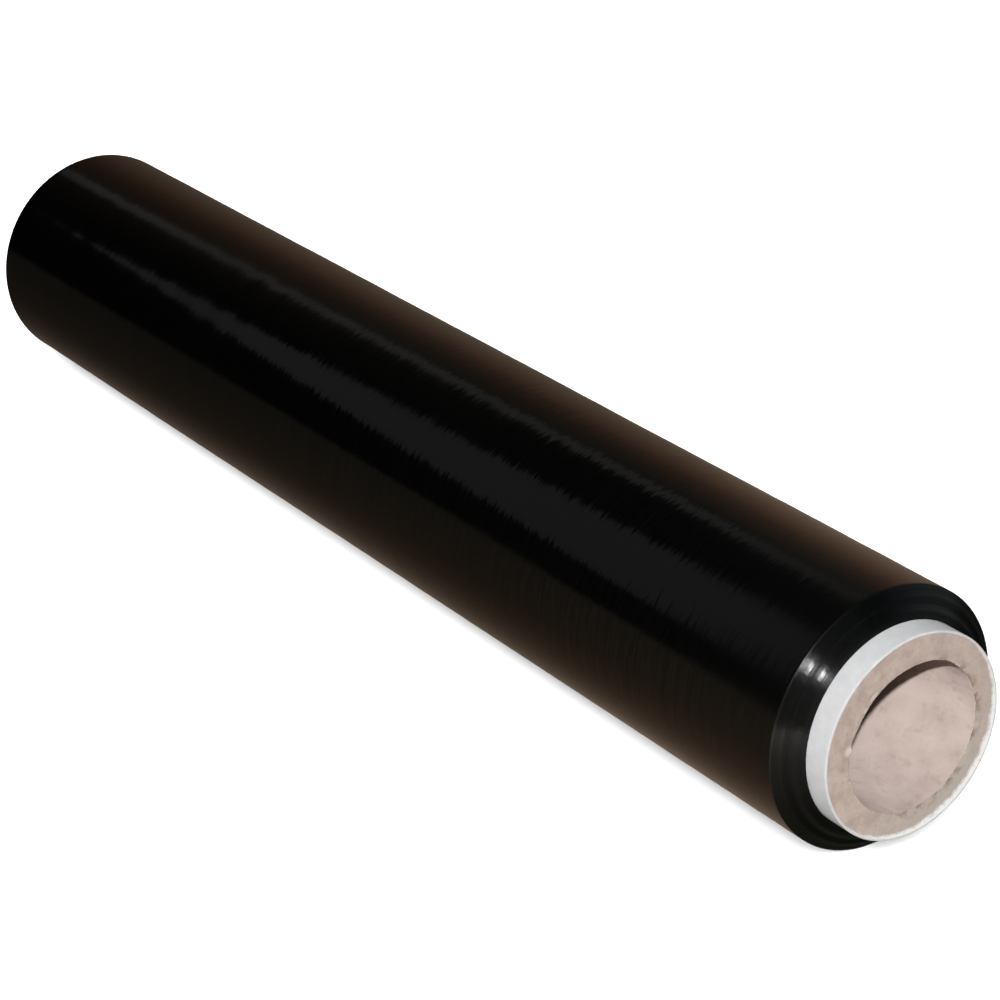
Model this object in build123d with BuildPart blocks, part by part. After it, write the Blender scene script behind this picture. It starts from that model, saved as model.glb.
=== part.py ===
from build123d import *
import os
from math import sqrt

# Hand roll of stretch film, lying on its side, in millimetres.
# The roll's axis runs along X. The origin is on the surface the roll lies on, under its middle.

# Paperboard core
CORE_BORE = 50.0  # takes a standard 50 mm mandrel
CORE_WALL = 9.0
CORE_OVERHANG = 9.0  # how far the core stands out of the film at each end
CORE_EDGE_BREAK = 0.4  # edge eased by the saw, at the bore and outside

# Wound film
FILM_WIDTH = 500.0  # across the innermost turn
FILM_BUILD = 9.5  # radial thickness of all the turns together
SHOULDER_SETBACK = 5.0  # how much further in the outermost turn ends than the innermost
FLAT_WIDTH = 12.0  # flat spot where the soft film gives under the roll's weight

# Edges of the turns, as they show at each end of the film
TURN_BUNDLES = 2  # rounded bundles of turns from the outside in to the core
BUNDLE_BULGE = 0.6  # how far a bundle stands out from the straight shoulder
RIDGES_PER_BUNDLE = 3  # fine ridges of turn edges on each bundle
RIDGE_RELIEF = 0.12  # height of one such ridge

# Sizes that follow from those above
core_radius = CORE_BORE / 2 + CORE_WALL
core_length = FILM_WIDTH + 2 * CORE_OVERHANG
film_radius = core_radius + FILM_BUILD
axis_height = sqrt(film_radius**2 - (FLAT_WIDTH / 2) ** 2)
roll_axis = Axis((0, 0, axis_height), (1, 0, 0))
end_plane = Plane((-core_length / 2, 0, axis_height), x_dir=(0, 1, 0), z_dir=(1, 0, 0))
profile_plane = Plane((0, 0, axis_height), x_dir=(1, 0, 0), z_dir=(0, -1, 0))


def draw_shoulder(outer_edge, inner_edge):
    """Draws one end of the film's profile: bundles of turns, each with its fine ridges."""
    step = (inner_edge - outer_edge) / TURN_BUNDLES
    for bundle in range(TURN_BUNDLES):
        start = outer_edge + step * bundle
        envelope = SagittaArc(start, start + step, BUNDLE_BULGE, mode=Mode.PRIVATE)
        for ridge in range(RIDGES_PER_BUNDLE):
            ridge_start = envelope @ (ridge / RIDGES_PER_BUNDLE)
            ridge_end = envelope @ ((ridge + 1) / RIDGES_PER_BUNDLE)
            SagittaArc(ridge_start, ridge_end, RIDGE_RELIEF)


# Spiral-wound paperboard tube, open right through
with BuildPart() as core:
    with BuildSketch(end_plane):
        Circle(core_radius)
        Circle(CORE_BORE / 2, mode=Mode.SUBTRACT)
    extrude(amount=core_length)
    end_rims = core.edges().filter_by(GeomType.CIRCLE)
    chamfer(end_rims, CORE_EDGE_BREAK)

core.part.label = "paperboard_core"

# All the turns of film as one solid, wound tight on the core
with BuildPart() as film:
    with BuildSketch(profile_plane):
        with BuildLine():
            outer_edge = Vector(FILM_WIDTH / 2 - SHOULDER_SETBACK, film_radius)
            inner_edge = Vector(FILM_WIDTH / 2, core_radius)
            Line((0, film_radius), outer_edge)
            draw_shoulder(outer_edge, inner_edge)
            Line(inner_edge, (0, core_radius))
            mirror(about=Plane.YZ)
        make_face()
    revolve(axis=roll_axis)
    split(bisect_by=Plane.XY, keep=Keep.TOP)

film.part.label = "film_winding"

os.makedirs("parts", exist_ok=True)
for piece in (core, film):
    export_step(piece.part, f"parts/{piece.part.label}.step")
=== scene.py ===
import math

import bpy
import numpy as np
from mathutils import Matrix, Vector


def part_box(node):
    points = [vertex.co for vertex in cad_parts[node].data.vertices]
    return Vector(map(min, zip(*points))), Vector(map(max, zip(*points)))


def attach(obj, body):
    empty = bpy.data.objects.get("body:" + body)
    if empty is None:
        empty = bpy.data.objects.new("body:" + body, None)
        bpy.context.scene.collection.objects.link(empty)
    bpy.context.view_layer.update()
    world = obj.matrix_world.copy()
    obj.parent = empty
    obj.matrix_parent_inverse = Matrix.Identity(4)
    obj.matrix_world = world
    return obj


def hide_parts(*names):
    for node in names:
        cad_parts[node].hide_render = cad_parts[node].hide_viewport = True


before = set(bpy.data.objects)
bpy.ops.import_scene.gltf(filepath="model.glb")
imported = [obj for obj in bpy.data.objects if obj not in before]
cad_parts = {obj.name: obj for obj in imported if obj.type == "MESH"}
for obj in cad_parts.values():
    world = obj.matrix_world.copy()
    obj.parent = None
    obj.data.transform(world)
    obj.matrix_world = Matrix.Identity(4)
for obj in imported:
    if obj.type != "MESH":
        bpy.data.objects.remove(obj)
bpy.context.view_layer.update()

# Sizes in metres. The axis, the core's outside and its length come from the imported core.
MM = 0.001
TURN = 2 * math.pi
core_low, core_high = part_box("paperboard_core")
AXIS_Z = (core_high.z + core_low.z) / 2
CORE_R = (core_high.y - core_low.y) / 2
CORE_HALF = (core_high.x - core_low.x) / 2
BORE_R = 25.0 * MM
EDGE_BREAK = 0.4 * MM  # outer edge of the core, eased by the saw
RIM_BREAK = 0.12 * MM  # the bore's own edge is sharper
PLY = 0.55 * MM  # thickness of the white outer ply
FILM_R = 43.5 * MM
FILM_HALF = 250.0 * MM  # half the width of the innermost turn
SETBACK = 5.0 * MM  # how much further in the outermost turn ends

rng = np.random.default_rng(7)


def waves(count, wavelength, orders, amplitude):
    """Seeded waves along a length and round the roll: (wave number, order, phase, height)."""
    made = []
    for _ in range(count):
        length = math.exp(rng.uniform(math.log(wavelength[0]), math.log(wavelength[1])))
        made.append((
            TURN / length,
            int(rng.integers(-orders, orders + 1)),
            rng.uniform(0, TURN),
            amplitude * rng.uniform(0.5, 1.0),
        ))
    return made


def sum_waves(made, along, angle):
    """Height of the waves at places along their length and round the roll."""
    total = np.zeros(np.broadcast(along, angle).shape)
    for number, order, phase, height in made:
        total += height * np.cos(number * along + order * angle + phase)
    return total


def smooth(value, low, high):
    """A smooth step from nought at low to one at high."""
    t = np.clip((value - low) / (high - low), 0, 1)
    return t * t * (3 - 2 * t)


def turn_from(angle, place):
    """Signed angle from a place round the roll."""
    return (angle - place + math.pi) % TURN - math.pi


def ring_mesh(name, rows):
    """A closed mesh from rings of points, with the last ring joined to the first."""
    rings, points, _ = rows.shape
    a, b = np.meshgrid(np.arange(rings), np.arange(points), indexing="ij")
    a2, b2 = (a + 1) % rings, (b + 1) % points
    quads = np.stack([a * points + b, a * points + b2, a2 * points + b2, a2 * points + b], -1)
    mesh = bpy.data.meshes.new(name)
    mesh.from_pydata(rows.reshape(-1, 3).tolist(), [], quads.reshape(-1, 4).tolist())
    mesh.polygons.foreach_set("use_smooth", [True] * len(mesh.polygons))
    mesh.update()
    obj = bpy.data.objects.new(name, mesh)
    bpy.context.scene.collection.objects.link(obj)
    return obj


def around(x, radius, angle):
    """Points at an axial place and a radius. The angle starts at the floor and goes up the -Y side."""
    x, radius, angle = np.broadcast_arrays(x, radius, angle)
    return np.stack([x, -radius * np.sin(angle), AXIS_Z - radius * np.cos(angle)], -1)


# Film: one closed skin, with a shoulder of turn edges at each end
FILM_ANGLES = 120
CYLINDER_RINGS = 440
SHOULDER_RINGS = 90
SHOULDER_CALM = 0.06  # share of a shoulder, at each of its edges, in which its waves fade out
INSIDE_REACH = 0.98  # share of the half width at which the hidden inside has its rings
TAIL = 4.267  # angle of the film's free end, on the far side
TAIL_STEP = 0.12 * MM
TAIL_EDGE = 0.0016  # angle that the step takes
TAIL_STRAYS = ((0.011, 0.061, 0), (0.007, 0.023, 1))  # angle, length along the roll, phase
TAIL_CALM = (2 * MM, 40 * MM)  # the free end runs straight near the film's ends
EDGE_ROUND = 0.35 * MM  # rounding of the outermost turn's edge
EDGE_TURNS = (18, 38, 58)  # degrees at which that rounding has its rings
SWELL_ROOM = 0.05 * MM  # the waves stand on a skin this far inside the film's radius
SWELL_CALM = (-1 * MM, 6 * MM)  # and fade out near the film's ends
HOOPS_LEAST = 0.25  # share of the hoops' height at the far end
HOOPS_GROW = (-0.10, 0.16)  # where along the roll they grow to their full height
# Rounded bundles of turns on a shoulder: share of the way in to the core, slope against a straight cone
BUNDLES = (
    (0.0, 0.13), (0.10, 0.11), (0.17, 0.06), (0.28, 0.225), (0.43, -0.13), (0.48, -0.13),
    (0.66, 0.265), (0.80, 0.0), (0.87, -0.08), (1.0, -0.03),
)
# Waves: how many, shortest and longest, most of them round the roll, height
TURN_RIDGES = (7, (0.045, 0.09), 0, 0.0045 * MM)  # these four as shares of the shoulder's length
TURN_WANDER = (10, (0.10, 0.35), 4, 0.006 * MM)
TURN_UNEVEN = (10, (0.25, 0.8), 5, 0.012 * MM)
TURN_NICKS = (24, (0.03, 0.12), 26, 0.003 * MM)
GAUGE_BANDS = (14, (14 * MM, 90 * MM), 2, 0.008 * MM)
FINE_HOOPS = (30, (3.2 * MM, 9 * MM), 6, 0.0026 * MM)
SLOW_SWELL = (6, (90 * MM, 300 * MM), 3, 0.02 * MM)

angle = np.linspace(0, TURN, FILM_ANGLES, endpoint=False)
angle = np.sort(np.append(angle, [TAIL - TAIL_EDGE, TAIL, TAIL + TAIL_EDGE]))[None, :]
at_tail = np.abs(angle - TAIL) < 1.01 * TAIL_EDGE  # with a little room for rounding


def bundle_height(u, length):
    """Height of the bundles at places on the shoulder, nought at its outer edge."""
    slope = np.interp(u[:, 0], *np.array(BUNDLES).T)
    rise = np.concatenate([[0], np.cumsum((slope[1:] + slope[:-1]) / 2 * np.diff(u[:, 0]))])
    return length * rise[:, None]


def shoulder(end_sign):
    """Rings of one end of the film, from the outer edge in to the core."""
    start = np.array([FILM_HALF - SETBACK, FILM_R])
    end = np.array([FILM_HALF, CORE_R])
    length = np.linalg.norm(end - start)
    along = (end - start) / length
    out = np.array([-along[1], along[0]])
    turns = waves(*TURN_RIDGES) + waves(*TURN_WANDER) + waves(*TURN_UNEVEN) + waves(*TURN_NICKS)
    u = np.linspace(0, 1, SHOULDER_RINGS + 1)[:, None]
    relief = sum_waves(turns, u, angle)
    relief = relief * smooth(u, 0, SHOULDER_CALM) * smooth(1 - u, 0, SHOULDER_CALM)
    relief = bundle_height(u, length) + relief
    x = start[0] + along[0] * length * u + out[0] * relief
    radius = start[1] + along[1] * length * u + out[1] * relief
    return around(end_sign * x, np.maximum(radius, CORE_R), angle)


def outer_turns():
    """Places along the film's outside and its radius there: bands, hoops and the free end's step."""
    bands, hoops, slow = waves(*GAUGE_BANDS), waves(*FINE_HOOPS), waves(*SLOW_SWELL)
    reach = FILM_HALF - SETBACK - EDGE_ROUND
    x = np.linspace(reach, -reach, CYLINDER_RINGS)[:, None]
    calm = HOOPS_LEAST + (1 - HOOPS_LEAST) * smooth(x, *HOOPS_GROW)
    swell = sum_waves(bands, x, angle) + sum_waves(slow, x, angle)
    swell = swell + calm * sum_waves(hoops, x, angle)
    swell = swell * smooth(reach - np.abs(x), *SWELL_CALM)
    past_tail = np.clip((angle - TAIL) / TAIL_EDGE, -1, 1)
    wrap = (angle - TAIL) % TURN / TURN
    step = TAIL_STEP * np.where(at_tail, 0.5 * (1 - past_tail), wrap)
    return x, FILM_R - SWELL_ROOM + swell + step - TAIL_STEP


def tail_stray(x):
    """How far the free end strays from a straight line along the roll, as an angle."""
    stray = sum(height * np.sin(x / length + phase) for height, length, phase in TAIL_STRAYS)
    stray = stray * smooth(FILM_HALF - SETBACK - np.abs(x), *TAIL_CALM)
    return np.where(at_tail, stray, 0)


def edge_rings(end_sign, radius):
    """The rounded edge of the outermost turn, from the cylinder to the shoulder."""
    turn = np.radians(EDGE_TURNS)[:, None]
    x = FILM_HALF - SETBACK - EDGE_ROUND + EDGE_ROUND * np.sin(turn)
    return around(end_sign * x, radius - EDGE_ROUND * (1 - np.cos(turn)), angle)


cylinder_x, cylinder_r = outer_turns()
near_end, far_end = shoulder(1)[1:], shoulder(-1)[1:]
inner_x = np.array([-FILM_HALF, FILM_HALF])[:, None] * INSIDE_REACH
film_rows = np.concatenate([
    near_end[::-1], edge_rings(1, cylinder_r[:1])[::-1],
    around(cylinder_x, cylinder_r, angle + tail_stray(cylinder_x)),
    edge_rings(-1, cylinder_r[-1:]), far_end,
    around(inner_x, CORE_R, angle),
])
film_rows[..., 2] = np.maximum(film_rows[..., 2], 0)  # the flat spot on the floor
film = ring_mesh("wound_film", film_rows)

# Core: bore, two cut ends and the white outer ply
CORE_ANGLES = 440
FACE_RINGS = 30
BORE_RINGS = 24
END_DEPTHS = np.array([0, 0.15, 0.5, 1.2, 3, 8]) * MM  # rings close together near an end
END_ROOM = 20 * MM  # where the even rings begin
FACE_ROOM = 0.06 * MM  # a cut end's waves stand on a face this far inside the core's length
RIM_LEAN = 1.05 * MM  # how far the rim's fibres lean into the bore where the saw came out
FAR_LEAN = 0.4  # share of that at the far end
LEAN_DEPTH = 1.5 * MM
LEAN_RISE, LEAN_FALL = (1.66, 2.1), (-3.8, -2.9)  # angles between which the fibres lean
RIM_REACH = (1.2 * MM, 1.0 * MM)  # how far the rim's shift shows on the face, and how softly it ends
TORN_PLACES = 11  # groups of small torn pits along the bore's rim, at each end
TORN_ANYWHERE = 0.4  # share of those groups all round the rim
TORN_SIDE = (4.3, 5.9)  # angles between which the others are
TORN_COUNT = (2, 6)  # pits in a group: the fewest, and one past the most
TORN_SPREAD = 0.09  # angle over which a group spreads
TORN_OUT = (0.3, 0.9)  # how far out from the rim a pit is: mean and spread, in millimetres
TORN_WIDE, TORN_DEEP, TORN_TALL = (0.5, 1.6), (0.10, 0.42), (0.25, 0.6)  # its size, in millimetres
CRUMB = 1.70  # angle of one loose crumb of board on the near rim
CRUMB_SIZE = (1.1 * MM, 0.8 * MM)  # round the rim and across it
CRUMB_HEIGHT = 0.6 * MM
LIP_BACK, LIP_IN = 0.25 * EDGE_BREAK, 0.4 * EDGE_BREAK  # the ply's lip, from the end and the outside
RIM_RAGGED = (30, (1.0, 2.0), 130, 0.020 * MM)  # waves, as for the film
SAW_WAVES = (18, (2.0 * MM, 9 * MM), 12, 0.008 * MM)
FACE_CRUMBS = (36, (0.9 * MM, 2.2 * MM), 90, 0.004 * MM)
LIP_BURR = (16, (1.0, 2.0), 60, 0.02 * MM)

angle_c = np.linspace(0, TURN, CORE_ANGLES, endpoint=False)[None, :]
ONE_PLACE = np.zeros((1, 1))  # for waves that go only round the core


def rim_shift(end_sign):
    """How far one rim of the bore stands into it, round the rim: leaning fibres and a ragged edge."""
    ragged = waves(*RIM_RAGGED)
    lean = RIM_LEAN * (1.0 if end_sign > 0 else FAR_LEAN)
    lean = lean * smooth(angle_c, *LEAN_RISE) * smooth(-angle_c, *LEAN_FALL)
    return lean - sum_waves(ragged, ONE_PLACE, angle_c)


def torn(x, r):
    """The cut end's places x with small pits torn near the bore's rim."""
    for _ in range(TORN_PLACES):
        anywhere = rng.random() < TORN_ANYWHERE
        centre = rng.uniform(0, TURN) if anywhere else rng.uniform(*TORN_SIDE)
        for _ in range(int(rng.integers(*TORN_COUNT))):
            where = centre + rng.normal(0, TORN_SPREAD)
            reach = BORE_R + abs(rng.normal(*TORN_OUT)) * MM
            wide, deep = rng.uniform(*TORN_WIDE) * MM, rng.uniform(*TORN_DEEP) * MM
            tall = rng.uniform(*TORN_TALL) * MM
            off = turn_from(angle_c, where) * reach
            x = x - deep * np.exp(-(off / wide) ** 2 - ((r - reach) / tall) ** 2)
    return x


def core_end(end_sign, shift):
    """Rings of one cut end, from the bore's rim out to the outer ply."""
    saw, crumbs, burr = waves(*SAW_WAVES), waves(*FACE_CRUMBS), waves(*LIP_BURR)
    r = np.linspace(BORE_R + RIM_BREAK, CORE_R - EDGE_BREAK, FACE_RINGS)[:, None]
    x = CORE_HALF - FACE_ROOM + sum_waves(saw, r, angle_c) + sum_waves(crumbs, r, angle_c)
    x = torn(x, r)
    r = r - shift * smooth(BORE_R + RIM_REACH[0] - r, 0, RIM_REACH[1])
    if end_sign > 0:
        off = turn_from(angle_c, CRUMB) * BORE_R
        across = r - BORE_R - EDGE_BREAK
        lump = np.exp(-(off / CRUMB_SIZE[0]) ** 2 - (across / CRUMB_SIZE[1]) ** 2)
        x, r = x + CRUMB_HEIGHT * lump, r - CRUMB_HEIGHT * lump
    face = around(end_sign * x, r, angle_c)
    lip_x = CORE_HALF - LIP_BACK + sum_waves(burr, ONE_PLACE, angle_c)
    lip = around(end_sign * lip_x, CORE_R - LIP_IN, angle_c)
    return np.concatenate([face, lip])


def along_core(half):
    """Places along the core, close together near its ends."""
    middle = np.linspace(END_ROOM - half, half - END_ROOM, BORE_RINGS)
    return np.concatenate([END_DEPTHS - half, middle, (half - END_DEPTHS)[::-1]])[:, None]


bore_x = along_core(CORE_HALF - RIM_BREAK)
near_shift, far_shift = rim_shift(1), rim_shift(-1)
lean_ends = (CORE_HALF - LEAN_DEPTH, CORE_HALF - RIM_BREAK)
bore_r = BORE_R - near_shift * smooth(bore_x, *lean_ends) - far_shift * smooth(-bore_x, *lean_ends)
ply = around(along_core(CORE_HALF - EDGE_BREAK)[::-1], CORE_R, angle_c)
core = ring_mesh("board_core", np.concatenate([
    around(bore_x, bore_r, angle_c), core_end(1, near_shift), ply, core_end(-1, far_shift)[::-1],
]))


# Materials
def material(name, **values):
    """A material of one shader, with values for those of its sockets that are the same all over."""
    made = bpy.data.materials.new(name)
    made.use_nodes = True
    tree = made.node_tree
    tree.nodes.clear()
    shader = tree.nodes.new("ShaderNodeBsdfPrincipled")
    output = tree.nodes.new("ShaderNodeOutputMaterial")
    tree.links.new(shader.outputs[0], output.inputs[0])
    for socket, value in values.items():
        shader.inputs[socket.replace("_", " ")].default_value = value
    return made, tree, shader


def node(tree, kind, inputs=None, **settings):
    """A node with its settings, and with its inputs joined to sockets or set to values."""
    made = tree.nodes.new(kind)
    for key, value in settings.items():
        setattr(made, key, value)
    for key, value in (inputs or {}).items():
        if isinstance(value, bpy.types.NodeSocket):
            tree.links.new(value, made.inputs[key])
        else:
            made.inputs[key].default_value = value
    return made


def math_node(tree, operation, first, second=0.0):
    return node(tree, "ShaderNodeMath", {0: first, 1: second}, operation=operation).outputs[0]


def vector_node(tree, operation, first, second, output=0):
    made = node(tree, "ShaderNodeVectorMath", {0: first, 1: second}, operation=operation)
    return made.outputs[output]


def object_place(tree):
    return node(tree, "ShaderNodeTexCoord").outputs["Object"]


def noise(tree, scale, detail=3.0, rough=0.55):
    """Noise with its own scale along each axis."""
    place = node(tree, "ShaderNodeMapping", {"Vector": object_place(tree), "Scale": scale})
    return node(tree, "ShaderNodeTexNoise", {
        "Vector": place.outputs[0], "Scale": 1.0, "Detail": detail, "Roughness": rough,
    }).outputs[0]


def noise_by_radius(tree, radius, scale, detail):
    """Rings of noise round the roll's axis."""
    return node(tree, "ShaderNodeTexNoise", {
        "W": math_node(tree, "MULTIPLY", radius, scale), "Scale": 1.0, "Detail": detail,
    }, noise_dimensions="1D").outputs[0]


def remap(tree, value, low, high, to_low, to_high):
    """Takes low to to_low and high to to_high, straight between them and level beyond."""
    return node(tree, "ShaderNodeMapRange", {
        0: value, 1: low, 2: high, 3: to_low, 4: to_high,
    }).outputs[0]


def ramp(tree, value, stops):
    """A colour by a value from nought to one, with stops of place and colour."""
    made = node(tree, "ShaderNodeValToRGB", {"Fac": value})
    elements = made.color_ramp.elements
    while len(elements) < len(stops):
        elements.new(0.5)
    for element, (place, colour) in zip(elements, stops):
        element.position = place
        element.color = (*colour, 1)
    return made.outputs[0]


def bump(tree, height, distance, under=None):
    """A bumped normal, on top of another one if that is given."""
    made = node(tree, "ShaderNodeBump", {"Height": height, "Strength": 1.0, "Distance": distance})
    if under is not None:
        tree.links.new(under, made.inputs["Normal"])
    return made.outputs[0]


def mix_colour(tree, factor, first, second):
    made = node(tree, "ShaderNodeMix", {0: factor, 6: first, 7: second}, data_type="RGBA")
    return made.outputs[2]


def scaled(tree, colour, factor):
    made = node(tree, "ShaderNodeVectorMath", {0: colour, "Scale": factor}, operation="SCALE")
    return made.outputs[0]


def squares(tree, first, second):
    """Root of the sum of two squares."""
    total = math_node(tree, "ADD", math_node(tree, "POWER", first, 2.0),
                      math_node(tree, "POWER", second, 2.0))
    return math_node(tree, "SQRT", total)


def axis_place(tree):
    """Object coordinates from the roll's axis: along it, radius, and angle from the top towards +Y."""
    split = node(tree, "ShaderNodeSeparateXYZ", {0: object_place(tree)})
    along, across, height = split.outputs
    rise = math_node(tree, "SUBTRACT", height, AXIS_Z)
    return along, squares(tree, across, rise), math_node(tree, "ARCTAN2", across, rise)


def nearness(tree, turned, place):
    """Cosine of the angle from a place round the axis."""
    return math_node(tree, "COSINE", math_node(tree, "SUBTRACT", turned, place))


def finish_material(tree, shader, colour, height, depth):
    """Joins a material's colour and its bump to its shader."""
    tree.links.new(colour, shader.inputs["Base Color"])
    tree.links.new(bump(tree, height, depth), shader.inputs["Normal"])


FILM_BLACK = (0.0005, 0.0005, 0.00045, 1)
NOISE_SPAN = (0.3, 0.7)  # what most of a noise lies between
FILM_ROUGHNESS = (0.09, 0.15)
HANDLED = (0.17, 0.245)  # where along the roll the film has been handled more, up to its near end
HANDLED_ROUGHNESS = 0.10
BUMPS_GROW = (-0.12, 0.16)  # where along the roll the hoops and wrinkles grow
HOOP_BUMP, WRINKLE_BUMP = 0.00006, 0.00009


def film_material():
    """The film's outside: glossy black, with fine hoops and wrinkles."""
    made, tree, shader = material("black_stretch_film", Base_Color=FILM_BLACK)
    smear = remap(tree, noise(tree, (14, 40, 40)), *NOISE_SPAN, *FILM_ROUGHNESS)
    along, _, _ = axis_place(tree)
    duller = remap(tree, along, *HANDLED, 0.0, HANDLED_ROUGHNESS)
    tree.links.new(math_node(tree, "ADD", smear, duller), shader.inputs["Roughness"])
    calm = remap(tree, along, *BUMPS_GROW, HOOPS_LEAST, 1.0)
    hoops = math_node(tree, "MULTIPLY", noise(tree, (420, 24, 24), 2.0), calm)
    wrinkles = math_node(tree, "MULTIPLY", noise(tree, (330, 90, 90), 1.5), calm)
    normal = bump(tree, wrinkles, WRINKLE_BUMP, bump(tree, hoops, HOOP_BUMP))
    tree.links.new(normal, shader.inputs["Normal"])
    return made


EDGE_ROUGHNESS = (0.25, 0.29)
TURNS_SCALE = 9000.0  # fine rings of turn edges
TURNS_BUMP, CRINKLE_BUMP = 0.00002, 0.000025


def turn_edge_material():
    """The film's ends: cut edges of many turns, which spread a reflection across themselves."""
    made, tree, shader = material(
        "wound_turn_edges", Base_Color=FILM_BLACK, Specular_IOR_Level=0.45,
        Anisotropic=1.0, Anisotropic_Rotation=0.25)
    smear = remap(tree, noise(tree, (90, 60, 60)), *NOISE_SPAN, *EDGE_ROUGHNESS)
    tree.links.new(smear, shader.inputs["Roughness"])
    tangent = node(tree, "ShaderNodeTangent", direction_type="RADIAL", axis="X")
    tree.links.new(tangent.outputs[0], shader.inputs["Tangent"])
    _, radius, _ = axis_place(tree)
    turns = noise_by_radius(tree, radius, TURNS_SCALE, 2.0)
    crinkle = bump(tree, noise(tree, (600, 600, 600), 2.0), CRINKLE_BUMP)
    tree.links.new(bump(tree, turns, TURNS_BUMP, crinkle), shader.inputs["Normal"])
    return made


# Colours of the core. Places round it are angles from the top towards +Y.
BOARD_BROWN = [
    (0.34, (0.360, 0.288, 0.250)), (0.50, (0.430, 0.348, 0.304)), (0.66, (0.475, 0.390, 0.344)),
]
BOARD_PLIES = (0.35, 0.28, 0.24, 1)
PLIES_SCALE = 1700.0  # rings of plies
BOARD_GREY, GREY_AT = (0.37, 0.305, 0.268, 1), 1.3
BOARD_DULL, DULL_AT = (0.37, 0.335, 0.297, 1), 2.5
BOARD_STAIN, STAIN_AT = (0.19, 0.130, 0.095, 1), 2.0
STAIN_REACH = (BORE_R + 0.2 * MM, BORE_R + 3.4 * MM)
BOARD_FLECK = (0.27, 0.210, 0.18, 1)
CRUMB_PALE = (0.55, 0.465, 0.41, 1)
CRUMB_OUT = 0.2 * MM  # the crumb's middle, out from the bore
CRUMB_REACH = (1.0 * MM, 2.3 * MM)  # distances from there between which its colour fades
PLY_WHITE = [(0.3, (0.550, 0.556, 0.566)), (0.7, (0.612, 0.616, 0.625))]
PLY_EDGE = (0.57, 0.565, 0.56, 1)  # the white ply where its cut edge is scuffed over the board
PLY_FRAYED, FRAYED_AT = (0.72, 0.715, 0.705, 1), 2.36  # and where it is frayed to loose white fibres
SCUFF_WIDTH = (0.45 * MM, 2.8 * MM)  # how far in it goes, away from there and there
SCUFF_FADE = (0.2 * MM, 0.8 * MM)  # how softly it ends
PLY_SEAM = (0.32, 0.31, 0.30, 1)
LINER_BROWN = [
    (0.30, (0.458, 0.371, 0.336)), (0.50, (0.514, 0.424, 0.385)), (0.70, (0.554, 0.463, 0.425)),
]
LINER_SHADE_PALEST_AT, LINER_PAINTED_SHADES = 0.52, (0.835, 1.105)  # painted shade: the liner darker low on the near side and paler high on the far side, all along the bore
LINER_SMUDGE, SMUDGED_AT = (0.27, 0.200, 0.165, 1), 3.5
LINER_FLECK = (0.33, 0.255, 0.22, 1)
LINER_SEAM = (0.18, 0.145, 0.12, 1)
BOARD_BUMP, LINER_BUMP, PLY_BUMP = 0.00016, 0.00006, 0.00004


def scuffed_ply(tree, base, radius, turned):
    """The white ply scuffed over the board's cut edge, wider and frayed on one side."""
    frayed_side = nearness(tree, turned, FRAYED_AT)
    wide = remap(tree, frayed_side, -0.2, 0.9, *SCUFF_WIDTH)
    fade = remap(tree, frayed_side, 0.0, 0.9, *SCUFF_FADE)
    ragged = remap(tree, noise(tree, (330, 330, 330), 3.0), *NOISE_SPAN, -1, 1)
    frayed = math_node(tree, "MULTIPLY", ragged, fade)
    inside = math_node(tree, "SUBTRACT", math_node(tree, "ADD", radius, wide), CORE_R)
    inside = math_node(tree, "DIVIDE", math_node(tree, "ADD", inside, frayed), fade)
    edge = mix_colour(tree, remap(tree, frayed_side, 0.0, 0.8, 0, 1), PLY_EDGE, PLY_FRAYED)
    return mix_colour(tree, remap(tree, inside, -0.75, 1.25, 0, 1), base, edge)


def board_material():
    """The core's cut ends: grey-brown board with faint plies, scuffed white at the outside."""
    made, tree, shader = material(
        "grey_core_board", Roughness=0.95, Specular_IOR_Level=0.15, Diffuse_Roughness=0.5)
    fibre = noise(tree, (900, 900, 900), 4.0, 0.65)
    base = ramp(tree, noise(tree, (170, 170, 170), 4.0, 0.6), BOARD_BROWN)
    _, radius, turned = axis_place(tree)
    plies = noise_by_radius(tree, radius, PLIES_SCALE, 1.0)
    base = mix_colour(tree, remap(tree, plies, 0.45, 0.75, 0, 0.22), base, BOARD_PLIES)
    greyer = remap(tree, nearness(tree, turned, GREY_AT), -0.2, 1.0, 0, 0.45)
    base = mix_colour(tree, greyer, base, BOARD_GREY)
    dull = remap(tree, nearness(tree, turned, DULL_AT), 0.3, 1.0, 0, 0.75)
    base = mix_colour(tree, dull, base, BOARD_DULL)
    # brown stains near the bore, most of them on one side
    at_rim = remap(tree, radius, *STAIN_REACH, 1.0, 0.0)
    side = remap(tree, nearness(tree, turned, STAIN_AT), -0.4, 0.8, 0.25, 1.0)
    stains = remap(tree, noise(tree, (240, 240, 240), 4.0, 0.65), 0.47, 0.60, 0, 0.95)
    dirt = math_node(tree, "MULTIPLY", math_node(tree, "MULTIPLY", at_rim, side), stains)
    base = mix_colour(tree, dirt, base, BOARD_STAIN)
    base = scuffed_ply(tree, base, radius, turned)
    base = mix_colour(tree, remap(tree, fibre, 0.54, 0.78, 0, 0.6), base, BOARD_FLECK)
    crumb_at = around(CORE_HALF, BORE_R + CRUMB_OUT, CRUMB).tolist()
    away = vector_node(tree, "DISTANCE", object_place(tree), crumb_at, "Value")
    base = mix_colour(tree, remap(tree, away, *CRUMB_REACH, 0.9, 0), base, CRUMB_PALE)
    finish_material(tree, shader, base, fibre, BOARD_BUMP)
    return made


SEAM_PITCH = 0.150  # how far the spiral plies' seams go along the core in one turn
LINER_SEAM_AT, PLY_SEAM_AT = (0.57, 0.006, 0.45), (0.94, 0.003, 0.5)  # phase, width, strength


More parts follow.
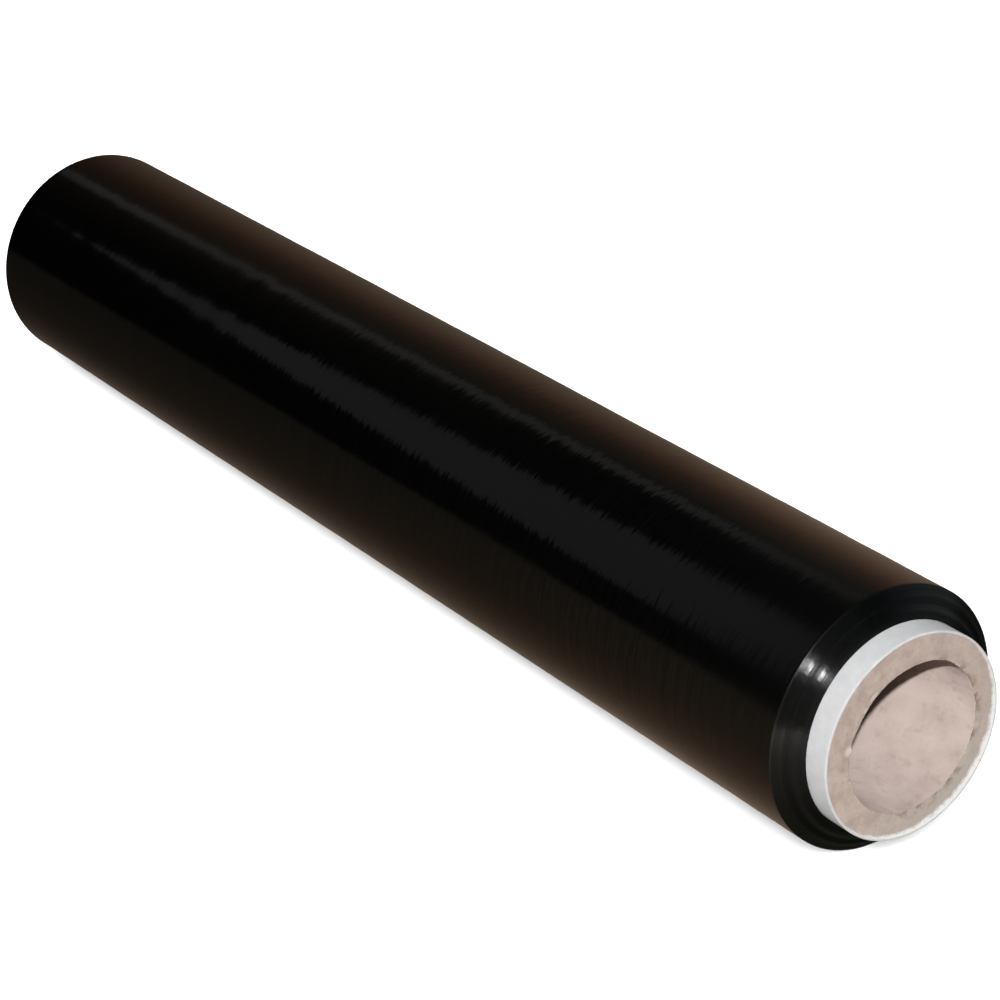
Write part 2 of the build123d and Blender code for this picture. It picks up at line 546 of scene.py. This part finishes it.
def seam_line(tree, phase, width, strength):
    """The strength along the seam between two spiral strips of ply, nought elsewhere."""
    along, _, turned = axis_place(tree)
    turns = math_node(tree, "ADD", math_node(tree, "DIVIDE", along, SEAM_PITCH),
                      math_node(tree, "DIVIDE", turned, TURN))
    part = math_node(tree, "FRACT", math_node(tree, "ADD", turns, phase))
    return math_node(tree, "MULTIPLY", math_node(tree, "LESS_THAN", part, width), strength)


def liner_material():
    """The bore: smooth inner ply, a little lighter than the cut board."""
    made, tree, shader = material(
        "core_liner", Roughness=0.9, Specular_IOR_Level=0.2, Diffuse_Roughness=0.45)
    fibre = noise(tree, (700, 700, 700), 3.0, 0.6)
    base = ramp(tree, noise(tree, (110, 130, 130), 4.0, 0.55), LINER_BROWN)
    _, _, turned = axis_place(tree)
    # painted shade: the liner's colour is scaled darker and paler round the bore, standing in for light
    # that falls unevenly inside it
    shade = remap(tree, nearness(tree, turned, LINER_SHADE_PALEST_AT), -1, 1, *LINER_PAINTED_SHADES)
    base = scaled(tree, base, shade)
    more = remap(tree, nearness(tree, turned, SMUDGED_AT), 0.4, 1.0, 0, 0.05)
    smudges = math_node(tree, "ADD", noise(tree, (210, 260, 260), 3.0, 0.6), more)
    base = mix_colour(tree, remap(tree, smudges, 0.57, 0.70, 0, 0.27), base, LINER_SMUDGE)
    base = mix_colour(tree, remap(tree, fibre, 0.58, 0.80, 0, 0.35), base, LINER_FLECK)
    base = mix_colour(tree, seam_line(tree, *LINER_SEAM_AT), base, LINER_SEAM)
    finish_material(tree, shader, base, fibre, LINER_BUMP)
    return made


def ply_material():
    """The core's outside: white paper with a fine seam."""
    made, tree, shader = material(
        "white_outer_ply", Roughness=0.7, Specular_IOR_Level=0.3, Diffuse_Roughness=0.16)
    fibre = noise(tree, (1400, 1400, 1400), 3.0)
    base = ramp(tree, noise(tree, (260, 260, 260), 4.0), PLY_WHITE)
    base = mix_colour(tree, seam_line(tree, *PLY_SEAM_AT), base, PLY_SEAM)
    finish_material(tree, shader, base, fibre, PLY_BUMP)
    return made


TURN_EDGES_FROM = FILM_HALF - SETBACK + 0.2 * MM  # where along the roll the turn edges begin
LINER_WITHIN = BORE_R + 0.25 * MM  # radius up to which a face is the bore's liner
for made in (film_material(), turn_edge_material()):
    film.data.materials.append(made)
for face in film.data.polygons:
    if abs(face.center.x) > TURN_EDGES_FROM:
        face.material_index = 1
for made in (board_material(), ply_material(), liner_material()):
    core.data.materials.append(made)
for face in core.data.polygons:
    radius = math.hypot(face.center.y, face.center.z - AXIS_Z)
    if radius > CORE_R - PLY:
        face.material_index = 1
    elif abs(face.center.x) < CORE_HALF - RIM_BREAK and radius < LINER_WITHIN:
        face.material_index = 2

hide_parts("film_winding")
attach(film, "root")
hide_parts("paperboard_core")
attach(core, "root")

# Stage: a pale floor, which the film's gloss doesn't mirror
FLOOR_R = 40
FLOOR_PALE = (0.84, 0.84, 0.84, 1)
bpy.ops.mesh.primitive_circle_add(vertices=96, radius=FLOOR_R, fill_type="NGON")
floor = bpy.context.object
floor.name = "studio_floor"
floor.data.materials.append(material(
    "pale_floor", Base_Color=FLOOR_PALE, Roughness=1.0, Specular_IOR_Level=0.0)[0])
floor.visible_glossy = False
floor.visible_diffuse = False

# World: pale fill light, and a dim warm room, fixed round the roll, for what the gloss mirrors
world = bpy.data.worlds.new("studio")
bpy.context.scene.world = world
world.use_nodes = True
sky = world.node_tree
sky.nodes.clear()
direction = node(sky, "ShaderNodeTexCoord").outputs["Generated"]
dir_x, dir_y, dir_z = node(sky, "ShaderNodeSeparateXYZ", {0: direction}).outputs


def by(value, stops):
    """A colour ramp over a direction's coordinate, from -1 to 1."""
    place = remap(sky, value, -1, 1, 0, 1)
    return ramp(sky, place, [((at + 1) / 2, colour) for at, colour in stops])


def by_degrees(value, stops):
    """A colour ramp over an angle, from -180 to 180 degrees."""
    place = remap(sky, value, -math.pi, math.pi, 0, 1)
    return ramp(sky, place, [(at / 360 + 0.5, colour) for at, colour in stops])


def grey(*stops):
    return [(at, (level, level, level)) for at, level in stops]


DARK = (0.003, 0.003, 0.003)
# What the film mirrors along the roll, behind it and in front: brown floor and backdrop by height,
# times levels by direction along the roll
BACK_HEIGHTS = [
    (-1.0, (0.285, 0.208, 0.148)), (-0.4, (0.265, 0.198, 0.142)), (-0.15, (0.25, 0.185, 0.135)),
    (0.05, (0.31, 0.212, 0.145)), (0.25, (0.33, 0.19, 0.122)), (0.44, (0.18, 0.106, 0.068)),
    (0.58, (0.09, 0.082, 0.065)), (0.68, DARK),
]
BACK_LEVELS = grey((-0.85, 0.32), (-0.81, 0.46), (-0.77, 0.54)) + [
    (-0.72, (0.575, 0.555, 0.51)), (-0.66, (0.97, 0.90, 0.85)),
]
FRONT_HEIGHTS = [
    (-1.0, (0.275, 0.172, 0.108)), (-0.72, (0.265, 0.167, 0.111)), (-0.5, (0.20, 0.144, 0.104)),
    (-0.05, (0.19, 0.172, 0.135)), (-0.03, (0.16, 0.145, 0.115)), (-0.005, DARK),
]
FRONT_LEVELS = grey((-0.87, 0.19), (-0.82, 0.265)) + [
    (-0.77, (0.40, 0.39, 0.37)), (-0.72, (0.50, 0.455, 0.40)), (-0.66, (0.75, 0.66, 0.56)),
    (-0.62, (0.85, 0.74, 0.62)),
]
FRONT_SINKS = (-0.85, -0.77, 0.06, 0.0)  # the front sinks towards the far end: directions, drops
BACK_FROM = (-0.25, 0.2)  # where, by direction across the roll, the back takes over from the front
VEIL_LEVELS = grey((-0.80, 0.0), (-0.72, 0.010), (-0.66, 0.030))
# What the near end mirrors. SIGHT is a fixed direction, from the photograph's side to that end. The
# room is laid out by the surface that mirrors SIGHT towards each part of it: by that surface's angle
# round the roll, in degrees from the -Y side up, times levels by its tilt towards +X.
SIGHT = (-0.657, 0.571, -0.494)
NEAR_ANGLES = [
    (-180, (0.02, 0.02, 0.02)), (-70, (0.055, 0.056, 0.042)), (-42, (0.068, 0.067, 0.05)),
    (-24, (0.115, 0.11, 0.09)), (-10, (0.218, 0.198, 0.17)), (2, (0.31, 0.29, 0.255)),
    (10, (0.56, 0.53, 0.475)), (14, (0.72, 0.68, 0.61)), (15.5, (0.12, 0.12, 0.11)),
    (28, (0.13, 0.135, 0.125)), (70, (0.06, 0.07, 0.07)), (83, (0.025, 0.03, 0.03)),
    (94, (0.07, 0.08, 0.09)), (106, (0.14, 0.165, 0.17)), (118, (0.145, 0.165, 0.165)),
    (127, (0.12, 0.135, 0.13)), (134, (0.05, 0.056, 0.05)), (150, (0.03, 0.032, 0.027)),
    (180, (0.02, 0.02, 0.02)),
]
NEAR_TILTS = grey(
    (0, 1.0), (15, 1.9), (45, 1.9), (54, 1.7), (60, 1.0), (70, 0.9), (80, 0.4), (90, 0.3))
NEAR_FROM = (-0.5, -0.3)  # where, by direction along the roll, the near end's room takes over
# Fill light: two directions along, up and across the roll, and its levels there
FILL_ALONG = (-0.9, 0.3, 0.45, 0.11)
FILL_UP = (-0.5, 0.5, 1.65, 0.38)
FILL_ACROSS = (-0.6, 0.6, 1.3, 0.7)
WARM_FROM = (-0.2, 0.4)  # where, by direction along the roll, it turns from white to warm
FILL_WARM = (1.0, 0.86, 0.72, 1)
WHITE = (1.0, 1.0, 1.0, 1)
GROUND_PALE = (0.95, 0.95, 0.95, 1)  # what the camera sees past the floor

back = vector_node(sky, "MULTIPLY", by(dir_z, BACK_HEIGHTS), by(dir_x, BACK_LEVELS))
sunk = math_node(sky, "ADD", dir_z, remap(sky, dir_x, *FRONT_SINKS))
front = vector_node(sky, "MULTIPLY", by(sunk, FRONT_HEIGHTS), by(dir_x, FRONT_LEVELS))
along_roll = mix_colour(sky, remap(sky, dir_y, *BACK_FROM, 0, 1), front, back)
along_roll = vector_node(sky, "ADD", along_roll, by(dir_x, VEIL_LEVELS))
lean_x = math_node(sky, "SUBTRACT", dir_x, SIGHT[0])
lean_y = math_node(sky, "SUBTRACT", SIGHT[1], dir_y)
lean_z = math_node(sky, "SUBTRACT", dir_z, SIGHT[2])
round_roll = math_node(sky, "ARCTAN2", lean_z, lean_y)
tilt = math_node(sky, "ARCTAN2", lean_x, squares(sky, lean_y, lean_z))
near_room = vector_node(
    sky, "MULTIPLY", by_degrees(round_roll, NEAR_ANGLES), by_degrees(tilt, NEAR_TILTS))
room = mix_colour(sky, remap(sky, dir_x, *NEAR_FROM, 0, 1), along_roll, near_room)
glossy = node(sky, "ShaderNodeBackground", {0: room, 1: 1.0})
fill_level = math_node(
    sky, "MULTIPLY", remap(sky, dir_x, *FILL_ALONG), remap(sky, dir_z, *FILL_UP))
fill_level = math_node(sky, "MULTIPLY", fill_level, remap(sky, dir_y, *FILL_ACROSS))
fill_colour = mix_colour(sky, remap(sky, dir_x, *WARM_FROM, 0, 1), WHITE, FILL_WARM)
fill = node(sky, "ShaderNodeBackground", {0: fill_colour, 1: fill_level})
pale = node(sky, "ShaderNodeBackground", {0: GROUND_PALE, 1: 1.0})
path = node(sky, "ShaderNodeLightPath")
seen = node(sky, "ShaderNodeMixShader", {
    0: path.outputs["Is Camera Ray"], 1: fill.outputs[0], 2: pale.outputs[0]})
mixed = node(sky, "ShaderNodeMixShader", {
    0: path.outputs["Is Glossy Ray"], 1: seen.outputs[0], 2: glossy.outputs[0]})
node(sky, "ShaderNodeOutputWorld", {0: mixed.outputs[0]})


# Lights
def light(name, kind, towards, place=(0, 0, 0), spin=0.0, lit=None, **settings):
    """A light that the camera doesn't see, for all pieces or only for those in lit."""
    data = bpy.data.lights.new(name, kind)
    for key, value in settings.items():
        setattr(data, key, value)
    obj = bpy.data.objects.new(name, data)
    bpy.context.scene.collection.objects.link(obj)
    obj.visible_camera = False
    obj.location = place
    obj.rotation_mode = "QUATERNION"
    aim = Vector(towards).to_track_quat("-Z", "Y")
    obj.rotation_quaternion = aim @ Matrix.Rotation(spin, 3, "Z").to_quaternion()
    if lit:
        group = bpy.data.collections.new(name + "_lit")
        for piece in lit:
            group.objects.link(piece)
        obj.light_linking.receiver_collection = group


FLASH = (-0.6268, 0.5538, -0.5480)  # where the flash near the lens points
DOWN = (0, 0, -1)
SOFTBOX_AT = (-1.5, -1.16, 1.41)
STRIP_AT = (-2.36, 0.727, 2.0)
STRIP_SPIN = math.atan2(0.58, 1.76)  # how far the strip is turned from the roll's axis
light("key", "SUN", FLASH, lit=(film, core), energy=4.2, angle=0.025)
light("floor_key", "SUN", FLASH, lit=(floor,), energy=9.0, angle=0.6)
light("floor_fill", "SUN", DOWN, lit=(floor,), energy=2.0, angle=3.0)
light("softbox", "AREA", (1, 0, 0), SOFTBOX_AT,
      shape="RECTANGLE", size=1.06, size_y=1.46, energy=0.66)
light("strip", "AREA", DOWN, STRIP_AT, STRIP_SPIN,
      shape="RECTANGLE", size=2.3, size_y=0.40, energy=0.35)

# Camera, at the photograph's viewing angle
LENS, SENSOR = 109.90, 36  # millimetres
CAMERA_AT = (0.83607, -0.55572, 0.48576)
CAMERA_RIGHT = Vector((0.575496, 0.817805, 0.0))
CAMERA_UP = Vector((-0.342633, 0.241113, 0.908002))
CAMERA_TOWARD = Vector((-0.742568, 0.522552, -0.418966))
camera_data = bpy.data.cameras.new("camera")
camera_data.lens = LENS
camera_data.sensor_width = SENSOR
camera = bpy.data.objects.new("camera", camera_data)
bpy.context.scene.collection.objects.link(camera)
camera_turn = Matrix((CAMERA_RIGHT, CAMERA_UP, -CAMERA_TOWARD)).transposed().to_4x4()
camera.matrix_world = Matrix.Translation(CAMERA_AT) @ camera_turn
bpy.context.scene.camera = camera
bpy.context.scene.view_settings.view_transform = "Standard"
